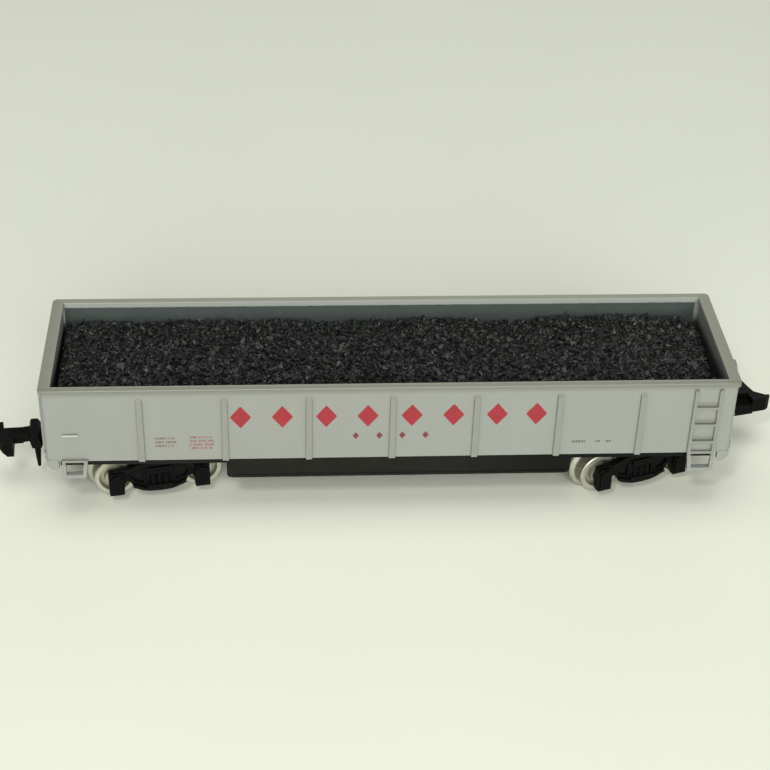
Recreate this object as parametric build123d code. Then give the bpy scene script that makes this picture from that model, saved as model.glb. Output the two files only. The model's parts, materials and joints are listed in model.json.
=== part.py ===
from build123d import *
import math
import os

# ---------------------------------------------------------------------------
# N scale (1:160) open freight car on two swivelling trucks, with a coal load.
# Frame: +X along the car towards the brake-wheel end (B end), +Y across,
# +Z up, z = 0 under the wheel flanges.  Millimetres.
# ---------------------------------------------------------------------------

# --- placing ---------------------------------------------------------------
SHIFT_X = 0.175           # moves the whole car so that its box is centred
TRUCK_X = 29.0            # truck centre from the middle of the car
TRUCK_A_TURN = 9.7        # rest swivel of the A-end truck, degrees about +Z
TRUCK_B_TURN = 18.0       # rest swivel of the B-end truck
COUPLER_TURN = -5.5       # rest swing of each coupler in its box

# --- body ------------------------------------------------------------------
RIM_L = 82.0              # over the top rim
RIM_W = 20.02              # flush with the side walls
RIM_TOP = 18.25
RIM_T = 0.62              # rim depth
RIM_SIDE = 1.0            # rim width along the sides
RIM_END = 1.4             # rim width across the ends
RIM_R = 0.6               # rim corner radius
WALL_L = 81.35            # over the end walls; the rim overhangs them
WALL_W = 20.02            # over the side walls
WALL_R = 0.45             # corner radius of the walls
WALL_SIDE = 0.95
WALL_END = 0.9
SILL_Z = 8.25             # lower edge of the sides
FLOOR_LO = 8.78           # tub floor
FLOOR_HI = 9.35
POST_PITCH = 9.82
POST_N = 7
POST_TOP = 17.05
POST_Y = 10.32            # front face of the posts
POST_W_LO = 0.72
POST_W_HI = 0.62
LADDER_X0 = 35.5          # ladder, outer edges of its stiles
LADDER_X1 = 38.85
LADDER_Y = 10.35          # front face of ladder, grab bar and stirrups
LADDER_TOP = 17.45
RUNG_Z = (14.85, 12.4, 9.95)
GRAB_Z = 12.05
STEP_A_Z = 5.98           # underside of the step at the A end
STEP_B_Z = 5.7            # and at the B end, below the ladder
STEP_H = 0.45
STEP_DEPTH = 0.72

# --- underframe and weight -------------------------------------------------
UF_L = 78.4
UF_W = 17.9
UF_LO = 6.9
UF_HI = 7.7
UF_LIP = 8.72
SKIRT_A = 19.6            # side skirt, from the middle of the car to its end by the A truck
SKIRT_B = 21.7            # and to its end by the B truck
SKIRT_LO = 4.95
SKIRT_Y1 = 9.25
SKIRT_Y0 = 8.35
WEIGHT = (74.0, 15.6, 0.96)

# --- wheels ----------------------------------------------------------------
AXLE_X = 5.19             # half of the truck wheelbase
FLANGE_R = 3.2
TREAD_R = 2.6
BACK_Y = 3.75             # half of the back-to-back distance
TREAD_Y = 5.92            # outer face of the tread
AXLE_R = 0.6
BUSH_R = 1.0
GAP = 0.02                # seat clearance between pieces of one body

# --- truck -----------------------------------------------------------------
SF_Y0 = 6.35              # side frame inner face
SF_Y1 = 7.08              # side frame plate outer face
SF_WEB = 6.58             # outer face of the web that closes the side frame's pockets
SF_Y2 = 7.72              # journal box outer face
KING_R = 0.88
KING_HOLE = 0.95

# --- coupler ---------------------------------------------------------------
PIVOT_X = 12.3            # coupler pivot from the truck centre
PIVOT_Z = 5.65
ARM_LO, ARM_HI = 6.2, 7.3
HEAD_LO, HEAD_HI = 4.9, 6.9


def blk(x0, x1, y0, y1, z0, z1):
    return Pos((x0 + x1) / 2, (y0 + y1) / 2, (z0 + z1) / 2) * Box(abs(x1 - x0), abs(y1 - y0), abs(z1 - z0))


def prism_xz(pts, y0, y1):
    """Closed outline in X-Z, extruded from y0 to y1."""
    face = make_face(Polyline([(x, y0, z) for x, z in pts], close=True).edges())
    return extrude(face, amount=abs(y1 - y0), dir=(0, 1 if y1 > y0 else -1, 0))


def prism_xy(pts, z0, z1):
    face = make_face(Polyline([(x, y, z0) for x, y in pts], close=True).edges())
    return extrude(face, amount=z1 - z0, dir=(0, 0, 1))


def prism_yz(pts, x0, x1):
    face = make_face(Polyline([(x0, y, z) for y, z in pts], close=True).edges())
    return extrude(face, amount=abs(x1 - x0), dir=(1 if x1 > x0 else -1, 0, 0))


def cyl_y(x, z, r, y0, y1):
    return Pos(x, (y0 + y1) / 2, z) * Rot(90, 0, 0) * Cylinder(r, abs(y1 - y0))


def cyl_x(y, z, r, x0, x1):
    return Pos((x0 + x1) / 2, y, z) * Rot(0, 90, 0) * Cylinder(r, abs(x1 - x0))


def cyl_z(x, y, r, z0, z1):
    return Pos(x, y, (z0 + z1) / 2) * Cylinder(r, z1 - z0)


def rod(p, q, r):
    """Round bar between two points."""
    p, q = Vector(*p), Vector(*q)
    d = q - p
    pl = Plane(origin=(p + q) * 0.5, z_dir=d)
    return pl * Cylinder(r, d.length)


def half_turn(s):
    return Rot(0, 0, 180) * s


def lathe_y(pts):
    """Closed (radius, y) outline turned about the Y axis."""
    face = make_face(Polyline([(r, y, 0) for r, y in pts], close=True).edges())
    return revolve(face, Axis.Y, 360)


# ---------------------------------------------------------------------------
# Body shell: tub, rim, posts, ladders, stirrups
# ---------------------------------------------------------------------------
WX, WY = WALL_L / 2, WALL_W / 2
RX, RY = RIM_L / 2, RIM_W / 2
IN_X, IN_Y = WX - WALL_END, WY - WALL_SIDE

tub = extrude(Pos(0, 0, SILL_Z) * RectangleRounded(WALL_L, WALL_W, WALL_R), amount=RIM_TOP - 0.3 - SILL_Z)
tub -= blk(-IN_X, IN_X, -IN_Y, IN_Y, FLOOR_HI, RIM_TOP + 1)
tub -= blk(-IN_X, IN_X, -IN_Y, IN_Y, SILL_Z - 1, FLOOR_LO)

rim = extrude(Pos(0, 0, RIM_TOP - RIM_T) * RectangleRounded(RIM_L, RIM_W, RIM_R), amount=RIM_T)
rim -= blk(-(RX - RIM_END), RX - RIM_END, -(RY - RIM_SIDE), RY - RIM_SIDE, RIM_TOP - 2, RIM_TOP + 1)
top_edges = rim.edges().group_by(Axis.Z)[-1]
rim = fillet(top_edges, 0.12)
shell = tub + rim


def side_post(x):
    """Slim tapered post on the near side (-Y), its head sloped back to the wall."""
    hl, hh = POST_W_LO / 2, POST_W_HI / 2
    pts = [(x - hl, SILL_Z), (x + hl, SILL_Z), (x + hh, POST_TOP), (x - hh, POST_TOP)]
    p = prism_xz(pts, -POST_Y, -WY + 0.1)
    head = prism_yz([(-POST_Y - 0.5, POST_TOP - 0.34), (-POST_Y, POST_TOP - 0.34), (-WY - 0.02, POST_TOP + 0.02),
                     (-POST_Y - 0.5, POST_TOP + 0.02)], x - 1, x + 1)
    return p - head


side_parts = []
for i in range(POST_N):
    side_parts.append(side_post((i - (POST_N - 1) / 2) * POST_PITCH))

# ladder on the right-hand end, standing proud of wall and rim
lx0, lx1 = LADDER_X0, LADDER_X1
st_w = 0.42
y_out, y_in = -LADDER_Y, -WY + 0.1
side_parts.append(blk(lx0, lx0 + st_w, y_out, y_in, SILL_Z, LADDER_TOP))
side_parts.append(blk(lx1 - st_w, lx1, y_out, y_in, SILL_Z, LADDER_TOP))
for z in RUNG_Z:
    side_parts.append(blk(lx0 + 0.2, lx1 - 0.2, y_out, y_in, z - 0.19, z + 0.19))
side_parts.append(blk(lx0 + 0.2, lx1 - 0.2, y_out, y_in, SILL_Z, SILL_Z + 0.36))


def stirrup(x0, x1, z0, in0, in1):
    """Hanging step (near side): two flat legs and one deep tread."""
    y0, y1 = -LADDER_Y, -LADDER_Y + 0.42
    zt = SILL_Z + 0.25
    w = 0.4
    outer = prism_xz([(x0, zt), (x1, zt), (x1 - in1, z0), (x0 + in0, z0)], y0, y1)
    hole = prism_xz([(x0 + w, zt + 0.2), (x1 - w, zt + 0.2), (x1 - in1 - w, z0 + STEP_H),
                     (x0 + in0 + w, z0 + STEP_H)], y0 - 1, y1 + 1)
    tread = blk(x0 + in0, x1 - in1, y0, y0 + STEP_DEPTH, z0, z0 + STEP_H)
    return outer - hole + tread


for x0, x1, z0, in0, in1 in ((lx0, lx1, STEP_B_Z, 0.34, 0.04), (-38.85, -35.8, STEP_A_Z, 0.04, 0.34)):
    side_parts.append(stirrup(x0, x1, z0, in0, in1))
    # root, tied back into the side
    side_parts.append(blk(x0, x1, -LADDER_Y, -WY + 0.1, SILL_Z, SILL_Z + 0.3))

# corner brackets below the side sill
for s in (-1, 1):
    pts = [(s * 39.25, SILL_Z + 0.2), (s * (WX - 0.05), SILL_Z + 0.2), (s * (WX - 0.05), 7.8), (s * 40.1, 6.98),
           (s * 39.5, 6.98), (s * 39.25, 7.3)]
    side_parts.append(prism_xz(pts, -WY - 0.06, -WY + 0.5))

near = side_parts[0]
for p in side_parts[1:]:
    near = near + p
# grab bar at the left-hand end
grab_y = -LADDER_Y + 0.14
near += rod((-38.55, grab_y, GRAB_Z), (-36.7, grab_y, GRAB_Z), 0.14)
near += blk(-38.5, -38.26, grab_y, -WY + 0.1, GRAB_Z - 0.12, GRAB_Z + 0.12)
near += blk(-36.99, -36.75, grab_y, -WY + 0.1, GRAB_Z - 0.12, GRAB_Z + 0.12)

shell += near
shell += half_turn(near)


def end_wall(s):
    """Ribs, posts and grab irons on the outside of the +X end."""
    out = None
    parts = []
    for z in (10.35, 12.75, 15.15):
        prof = [(-WX + 0, 0)]
        pts = [(WX - 0.1, z - 0.62), (WX + 0.02, z - 0.62), (WX + 0.24, z - 0.3), (WX + 0.24, z + 0.3),
               (WX + 0.02, z + 0.62), (WX - 0.1, z + 0.62)]
        f = make_face(Polyline([(x, -8.3, zz) for x, zz in pts], close=True).edges())
        parts.append(extrude(f, amount=16.6, dir=(0, 1, 0)))
    # end sill
    parts.append(blk(WX - 0.1, WX + 0.26, -9.4, 9.4, SILL_Z, SILL_Z + 0.95))
    # end ladder on the right-hand side as seen from outside
    for y in (6.9, 8.9):
        parts.append(blk(WX - 0.1, WX + 0.34, y - 0.18, y + 0.18, SILL_Z + 0.5, RIM_TOP - RIM_T))
    for z in (9.35, 11.55, 13.95, 16.35):
        parts.append(blk(WX + 0.02, WX + 0.34, 6.8, 9.0, z - 0.17, z + 0.17))
    out = parts[0]
    for p in parts[1:]:
        out = out + p
    return out


b_end = end_wall(1)
# brake wheel mounting: pad with a socket, and a small step below it
BRAKE_Y, BRAKE_Z = -4.85, 16.25
b_end += blk(WX - 0.1, WX + 0.3, BRAKE_Y - 0.75, BRAKE_Y + 0.75, BRAKE_Z - 0.75, BRAKE_Z + 0.75)
b_end += blk(WX - 0.1, WX + 1.0, BRAKE_Y - 1.9, BRAKE_Y + 1.9, 11.32, 11.62)
for yy in (BRAKE_Y - 1.4, BRAKE_Y + 1.4):
    b_end += prism_xz([(WX - 0.05, 11.4), (WX + 0.85, 11.4), (WX - 0.05, 10.5)], yy - 0.14, yy + 0.14)
a_end = half_turn(end_wall(1))
shell += b_end
shell += a_end
# blind socket for the brake wheel's shaft
shell -= cyl_x(BRAKE_Y, BRAKE_Z, 0.32, WX - 0.45, WX + 2)
# snap pockets for the underframe's four clips, inside the sills
for sx in (-1, 1):
    for sy in (-1, 1):
        shell -= blk(sx * 33.0 - 1.05, sx * 33.0 + 1.05, sy * (IN_Y - 0.05), sy * (IN_Y + 0.3), 8.32, FLOOR_LO)
body_shell = shell

# ---------------------------------------------------------------------------
# Brake wheel: rim, five spokes, hub and a short shaft
# ---------------------------------------------------------------------------
bw_x = WX + 0.42
ring = cyl_x(0, 0, 1.6, 0, 0.3) - cyl_x(0, 0, 1.3, -1, 1)
wheel = ring + cyl_x(0, 0, 0.42, -0.05, 0.38)
for k in range(5):
    a = math.radians(90 + 72 * k)
    wheel += rod((0.15, 0.3 * math.cos(a), 0.3 * math.sin(a)), (0.15, 1.42 * math.cos(a), 1.42 * math.sin(a)), 0.11)
wheel += cyl_x(0, 0, 0.3, -0.8, 0.2)
brake_wheel = Pos(bw_x, BRAKE_Y, BRAKE_Z) * wheel

# ---------------------------------------------------------------------------
# Underframe
# ---------------------------------------------------------------------------
ux, uy = UF_L / 2, UF_W / 2
uf = blk(-ux, ux, -uy, uy, UF_LO, UF_HI)
uf += blk(-ux, ux, -uy, uy, UF_HI - 0.1, UF_LIP) - blk(-WEIGHT[0] / 2 - 0.3, WEIGHT[0] / 2 + 0.3,
                                                       -WEIGHT[1] / 2 - 0.3, WEIGHT[1] / 2 + 0.3, UF_HI - 1, UF_LIP + 1)
for s in (-1, 1):
    # deep side skirt between the trucks; the two sides are the same turned half round
    xa, xb = (-SKIRT_A, SKIRT_B) if s < 0 else (-SKIRT_B, SKIRT_A)
    pts = [(xa, SILL_Z - 0.05), (xa, SKIRT_LO + 0.3), (xa + 0.3, SKIRT_LO), (xb - 0.3, SKIRT_LO),
           (xb, SKIRT_LO + 0.3), (xb, SILL_Z - 0.05)]
    sk = prism_xz(pts, s * SKIRT_Y0, s * SKIRT_Y1)
    uf += sk
    # fine bead along the lower edge
    uf += blk(xa + 0.6, xb - 0.6, s * (SKIRT_Y1 - 0.05), s * (SKIRT_Y1 + 0.1), SKIRT_LO, SKIRT_LO + 0.32)
    # snap clips
    for sx in (-1, 1):
        uf += blk(sx * 33.0 - 0.9, sx * 33.0 + 0.9, s * (uy - 0.1), s * (IN_Y + 0.18), 8.4, 8.66)
# centre sill, fish-bellied
uf += prism_xz([(-18.6, UF_LO + 0.1), (-18.6, 6.1), (-12.5, 5.15), (12.5, 5.15), (18.6, 6.1), (18.6, UF_LO + 0.1)],
               -1.35, 1.35)
for x in (-14.73, -4.91, 4.91, 14.73):
    uf += blk(x - 0.45, x + 0.45, -SKIRT_Y0 - 0.1, SKIRT_Y0 + 0.1, 5.75, UF_LO + 0.1)
# brake cylinder and its bracket, moulded on
uf += cyl_x(4.6, 6.05, 0.85, 6.3, 9.6)
uf += blk(6.9, 9.0, 4.1, 5.1, 6.05, UF_LO + 0.1)
# bolsters and centre pads
for s in (-1, 1):
    x = s * TRUCK_X
    uf += cyl_z(x, 0, 2.3, 6.5, UF_LO + 0.1)
    uf += cyl_z(x, 0, 1.9, UF_LO, 7.7)
    uf -= cyl_z(x, 0, KING_R + GAP, 5, 7.55)
underframe = uf

weight_plate = Pos(0, 0, UF_HI + 0.02 + WEIGHT[2] / 2) * Box(*WEIGHT)
weight_plate = fillet(weight_plate.edges().filter_by(Axis.Z), 0.8)

# ---------------------------------------------------------------------------
# Coal load: one block that drops into the tub, crowned along its length
# ---------------------------------------------------------------------------
LX, LY = IN_X - 0.45, IN_Y - 0.25
coal = blk(-LX, LX, -LY, LY, FLOOR_HI + 0.03, 14.95)
crown = prism_yz([(-LY, 14.8), (LY, 14.8), (LY, 15.15), (LY - 2.0, 15.55), (0, 15.75), (-LY + 2.0, 15.55),
                  (-LY, 15.15)], -LX, LX)
coal_load = coal + crown
ends = [e for e in coal_load.edges().filter_by(Axis.Y) if e.center().Z > 15.7]

# ---------------------------------------------------------------------------
# Truck, built about its own centre with the coupler towards +X
# ---------------------------------------------------------------------------


def side_frame():
    """Cast side frame at y > 0."""
    right = [(0, 5.75), (2.4, 5.75), (4.1, 5.0), (6.1, 4.75), (6.1, 1.62), (4.28, 1.62), (4.22, 2.9), (3.9, 3.3),
             (3.5, 3.1), (3.2, 2.42), (2.2, 1.96), (1.3, 1.68), (0, 1.62)]
    left = [(-x, z) for x, z in reversed(right[1:-1])]
    f = prism_xz(right + left, SF_Y0, SF_Y1)
    # spring pocket and two lightening pockets, all closed by a thin web on the wheel side
    f -= blk(-1.3, 1.3, SF_WEB, SF_Y1 + 1, 2.45, 4.35)
    for s in (-1, 1):
        f -= prism_xz([(s * 1.95, 2.75), (s * 3.0, 3.1), (s * 3.6, 4.0), (s * 3.2, 4.3), (s * 1.95, 4.55)],
                      SF_WEB, SF_Y1 + 1)
    # raised flanges: top chord, lower chord
    top = prism_xz([(-2.4, 5.75), (-2.4, 5.35), (-4.1, 4.6), (-4.1, 5.0)], SF_Y1 - 0.1, SF_Y1 + 0.28)
    f += top
    f += prism_xz([(2.4, 5.75), (2.4, 5.35), (4.1, 4.6), (4.1, 5.0)], SF_Y1 - 0.1, SF_Y1 + 0.28)
    f += blk(-2.4, 2.4, SF_Y1 - 0.1, SF_Y1 + 0.28, 5.35, 5.75)
    f += prism_xz([(-3.2, 2.42), (-2.2, 1.96), (-1.3, 1.68), (0, 1.62), (1.3, 1.68), (2.2, 1.96), (3.2, 2.42),
                   (3.0, 2.75), (2.1, 2.32), (1.25, 2.05), (0, 2.0), (-1.25, 2.05), (-2.1, 2.32), (-3.0, 2.75)],
                  SF_Y1 - 0.1, SF_Y1 + 0.34)
    # bolster end and spring plank
    f += blk(-1.45, 1.45, SF_Y1 - 0.3, SF_Y1 + 0.4, 4.3, 5.1)
    f += blk(-1.45, 1.45, SF_Y1 - 0.3, SF_Y1 + 0.4, 2.1, 2.5)
    # coil springs, moulded as ribbed columns
    for x in (-0.78, 0.0, 0.78):
        f += cyl_z(x, (SF_Y0 + SF_Y1) / 2 + 0.15, 0.27, 2.3, 4.4)
        for k in range(5):
            f += cyl_z(x, (SF_Y0 + SF_Y1) / 2 + 0.15, 0.36, 2.56 + 0.38 * k, 2.56 + 0.38 * k + 0.2)
    # journal boxes with lids
    for s in (-1, 1):
        x = s * AXLE_X
        box = prism_xz([(x - 0.88, 1.62), (x + 0.88, 1.62), (x + 0.88, 4.2), (x + 0.62, 4.72), (x - 0.62, 4.72),
                        (x - 0.88, 4.2)], SF_Y0, SF_Y2 - 0.22)
        lid = prism_xz([(x - 0.7, 2.0), (x + 0.7, 2.0), (x + 0.7, 4.0), (x + 0.45, 4.4), (x - 0.45, 4.4),
                        (x - 0.7, 4.0)], SF_Y2 - 0.3, SF_Y2)
        f += box
        f += lid
        f += blk(x - 0.3, x + 0.3, SF_Y2 - 0.35, SF_Y2 + 0.06, 4.2, 4.55)
    return f


def bearing(x):
    """Cone that the pointed axle end runs in (y > 0)."""
    pts = [(0, 6.0), (AXLE_R + 0.09, 6.0), (AXLE_R + 0.09, SF_Y0 + 0.02), (0.2, 7.34), (0, 7.34)]
    return Pos(x, 0, FLANGE_R) * lathe_y(pts)


def truck_frame_local():
    sf = side_frame()
    f = sf + Rot(0, 0, 180) * sf
    # bolster between the side frames
    f += blk(-1.5, 1.5, -SF_Y0 - 0.1, SF_Y0 + 0.1, 4.25, 5.85)
    f += blk(-1.45, 1.45, -SF_Y0 - 0.1, SF_Y0 + 0.1, 2.1, 2.5) - blk(-2, 2, -5.9, 5.9, 2, 3)
    f += cyl_z(0, 0, 2.3, 4.25, 6.44)
    # tongue over the outer axle, then the coupler box
    f += blk(1.0, 10.6, -1.35, 1.35, 4.35, 5.1)
    f += blk(1.0, 10.6, -0.3, 0.3, 5.0, 5.7)
    f += blk(10.2, 12.9, -1.85, 1.85, 4.35, 6.3)
    # spring pocket, tail pocket, mouth; open at the top for the cover
    f -= blk(10.5, 11.8, -0.75, 0.75, 4.9, 7)
    f -= blk(11.7, 12.66, -1.5, 1.5, 4.9, 7)
    f -= blk(12.5, 13.2, -1.0, 1.0, 4.9, 7)
    # king pin bore
    f -= cyl_z(0, 0, KING_HOLE, 3, 8)
    # axle bearings
    for s in (-1, 1):
        f -= bearing(s * AXLE_X)
        f -= Rot(0, 0, 180) * bearing(s * AXLE_X)
    return f


def cover_local():
    c = blk(10.2, 12.9, -1.85, 1.85, 6.32, 6.6)
    c = fillet(c.edges().filter_by(Axis.Z), 0.3)
    # two locating pegs that sit in the spring pocket's corners
    c += blk(12.0, 12.35, 1.2, 1.45, 6.08, 6.35)
    c += blk(12.0, 12.35, -1.45, -1.2, 6.08, 6.35)
    return c


def king_pin_local():
    p = cyl_z(0, 0, KING_R, 3.9, 7.5)
    p += cyl_z(0, 0, 1.65, 3.42, 4.1)
    p -= blk(-2, 2, -0.16, 0.16, 3.3, 3.68)
    return p


def spring_local():
    """Coil spring behind the coupler's tail, its axis along X."""
    turns, pitch, rad, wire = 5.0, 0.22, 0.42, 0.07
    path = Helix(pitch=pitch, height=pitch * turns, radius=rad)
    start = path @ 0
    prof = Plane(origin=start, z_dir=path % 0) * Circle(wire)
    s = sweep(prof, path=path, is_frenet=True)
    return Pos(10.62, 0, PIVOT_Z) * Rot(0, 90, 0) * s


def coupler_local():
    """Hook coupler, u = +X outwards, right-hand side is -Y."""
    c = blk(11.95, 12.45, -1.2, 1.2, 5.32, 5.98)                  # tail
    c += blk(12.3, 13.5, -0.72, 0.72, 5.32, 5.98)                 # shank
    # shoulder, its front face leaning outwards
    c += prism_xz([(13.28, 5.85), (14.45, 5.85), (14.75, 7.25), (14.6, 7.5), (13.8, 7.5), (13.45, 6.9)], -1.95, 1.95)
    c += blk(13.28, 14.3, -0.72, 0.72, 5.32, 6.0)
    # arm, falling a little towards the head
    c += prism_xz([(14.3, ARM_LO), (17.2, ARM_LO - 0.35), (17.2, ARM_HI - 0.4), (14.3, ARM_HI)], -0.85, 0.85)
    # uncoupling pin, tapering down
    c += Pos(13.98, 0, (5.9 + 1.85) / 2) * Cone(0.2, 0.52, 5.9 - 1.85 + 0.1)
    # head with the hook and its blunt nose on the right-hand side
    head = prism_xy([(16.7, -0.85), (16.7, 2.1), (18.0, 2.1), (18.4, 1.75), (18.55, 0.6), (18.8, -0.75), (20.0, -1.8),
                     (20.45, -1.85), (20.45, -2.1), (19.9, -2.4), (18.0, -2.45), (17.9, -0.85)], HEAD_LO, HEAD_HI)
    # bevelled lower lip on the left-hand part
    head -= prism_xz([(17.4, HEAD_LO - 0.1), (19.4, HEAD_LO - 0.1), (19.4, 5.95), (18.4, 5.95)], -0.6, 2.6)
    c += head
    # low bar beside the arm
    c += blk(15.7, 18.2, -2.4, -0.85, HEAD_LO - 0.25, 6.0)
    return Pos(PIVOT_X, 0, 0) * Rot(0, 0, COUPLER_TURN) * Pos(-PIVOT_X, 0, 0) * c


def axle_local(x):
    pts = [(0, -7.26), (0.12, -7.26), (AXLE_R, SF_Y0 - 0.02), (AXLE_R, 0), (AXLE_R, -SF_Y0 + 0.02)]
    pts = [(0, -7.26), (0.14, -7.26), (AXLE_R, -SF_Y0 + 0.03), (AXLE_R, SF_Y0 - 0.03), (0.14, 7.26), (0, 7.26)]
    return Pos(x, 0, FLANGE_R) * lathe_y(pts)


def wheel_local(x, side, bore):
    pts = [(bore, BACK_Y), (FLANGE_R - 0.12, BACK_Y), (FLANGE_R, BACK_Y + 0.12), (FLANGE_R, BACK_Y + 0.3),
           (FLANGE_R - 0.16, BACK_Y + 0.48), (TREAD_R + 0.12, BACK_Y + 0.6), (TREAD_R + 0.02, BACK_Y + 0.74),
           (TREAD_R - 0.06, TREAD_Y - 0.1), (TREAD_R - 0.16, TREAD_Y), (1.98, TREAD_Y), (1.82, TREAD_Y - 0.55),
           (1.35, TREAD_Y - 0.5), (1.28, TREAD_Y + 0.1), (bore, TREAD_Y + 0.1)]
    w = lathe_y(pts)
    if side < 0:
        w = Rot(180, 0, 0) * w
    return Pos(x, 0, FLANGE_R) * w


def bush_local(x, side):
    pts = [(AXLE_R + GAP, BACK_Y - 0.1), (BUSH_R, BACK_Y - 0.1), (BUSH_R, TREAD_Y + 0.16),
           (AXLE_R + GAP, TREAD_Y + 0.16)]
    b = lathe_y(pts)
    if side < 0:
        b = Rot(180, 0, 0) * b
    return Pos(x, 0, FLANGE_R) * b


def place(s, end):
    """Truck-local shape to the car: A end is turned half round."""
    if end == "a":
        return Pos(-TRUCK_X, 0, 0) * Rot(0, 0, 180 + TRUCK_A_TURN) * s
    return Pos(TRUCK_X, 0, 0) * Rot(0, 0, TRUCK_B_TURN) * s


parts = {
    "body_shell": body_shell,
    "underframe": underframe,
    "weight_plate": weight_plate,
    "coal_load": coal_load,
    "brake_wheel": brake_wheel,
}

tf, cv, kp, sp, cp = truck_frame_local(), cover_local(), king_pin_local(), spring_local(), coupler_local()
for end in ("a", "b"):
    parts["truck_frame_" + end] = place(tf, end)
    parts["coupler_cover_" + end] = place(cv, end)
    parts["king_pin_" + end] = place(kp, end)
    parts["coupler_spring_" + end] = place(sp, end)
    parts["coupler_" + end] = place(cp, end)
    # axle 1 is the inner one, axle 2 the outer one (under the coupler's tongue)
    for n, x in ((1, -AXLE_X), (2, AXLE_X)):
        tag = end + str(n)
        parts["axle_" + tag] = place(axle_local(x), end)
        parts["wheel_" + tag + "_plain"] = place(wheel_local(x, 1, AXLE_R + GAP), end)
        parts["wheel_" + tag + "_insulated"] = place(wheel_local(x, -1, BUSH_R + GAP), end)
        parts["bush_" + tag] = place(bush_local(x, -1), end)

os.makedirs("parts", exist_ok=True)
for name, shape in parts.items():
    shape = Pos(SHIFT_X, 0, 0) * shape
    export_step(shape, os.path.join("parts", name + ".step"))
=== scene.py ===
# N scale open freight car with a coal load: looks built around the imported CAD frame.
import json
import math
import random

import bmesh
import bpy
import numpy as np
from mathutils import Matrix, Vector


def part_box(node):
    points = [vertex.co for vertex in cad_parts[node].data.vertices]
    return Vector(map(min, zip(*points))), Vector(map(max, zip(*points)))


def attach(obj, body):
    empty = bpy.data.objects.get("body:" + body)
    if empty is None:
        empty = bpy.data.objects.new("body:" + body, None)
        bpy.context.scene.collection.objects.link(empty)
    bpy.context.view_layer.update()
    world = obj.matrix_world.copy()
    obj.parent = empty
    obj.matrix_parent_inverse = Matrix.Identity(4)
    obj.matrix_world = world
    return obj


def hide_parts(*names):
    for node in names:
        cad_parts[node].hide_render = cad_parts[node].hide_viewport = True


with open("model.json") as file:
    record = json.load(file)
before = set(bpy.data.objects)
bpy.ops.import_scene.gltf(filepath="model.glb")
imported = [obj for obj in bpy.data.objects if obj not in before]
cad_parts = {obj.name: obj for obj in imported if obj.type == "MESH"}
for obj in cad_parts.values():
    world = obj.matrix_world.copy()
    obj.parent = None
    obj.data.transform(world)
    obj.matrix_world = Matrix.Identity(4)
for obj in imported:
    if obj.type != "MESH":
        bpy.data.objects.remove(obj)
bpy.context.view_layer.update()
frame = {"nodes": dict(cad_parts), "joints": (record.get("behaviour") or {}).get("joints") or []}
NODES = frame["nodes"]
JOINTS = {j["name"]: j for j in frame["joints"]}
MM = 0.001
scene = bpy.context.scene
scene.view_settings.view_transform = "Standard"
scene.view_settings.look = "None"
scene.view_settings.exposure = 0.0
scene.view_settings.gamma = 1.0

# ---------------------------------------------------------------------------
# Camera: az -4.28, el 34.8, roll 1.75 degrees, about 0.22 m from the car
# ---------------------------------------------------------------------------
CAM_AZ, CAM_EL, CAM_ROLL = math.radians(-4.276), math.radians(34.803), math.radians(1.749)
CAM_AT = Vector((-0.013424, -0.177817, 0.135611))


def camera():
    fwd = Vector((-math.sin(CAM_AZ) * math.cos(CAM_EL), math.cos(CAM_AZ) * math.cos(CAM_EL), -math.sin(CAM_EL)))
    right = Vector((math.cos(CAM_AZ), math.sin(CAM_AZ), 0))
    up = right.cross(fwd)
    c, s = math.cos(CAM_ROLL), math.sin(CAM_ROLL)
    r2 = c * right + s * up
    u2 = -s * right + c * up
    cam = bpy.data.cameras.new("camera")
    cam.sensor_width = 36.0
    cam.lens = 82.88
    cam.clip_start = 0.005
    cam.clip_end = 50
    ob = bpy.data.objects.new("camera", cam)
    m = Matrix((r2, u2, -fwd)).transposed().to_4x4()
    m.translation = CAM_AT
    ob.matrix_world = m
    scene.collection.objects.link(ob)
    scene.camera = ob
    return ob


camera()


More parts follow.
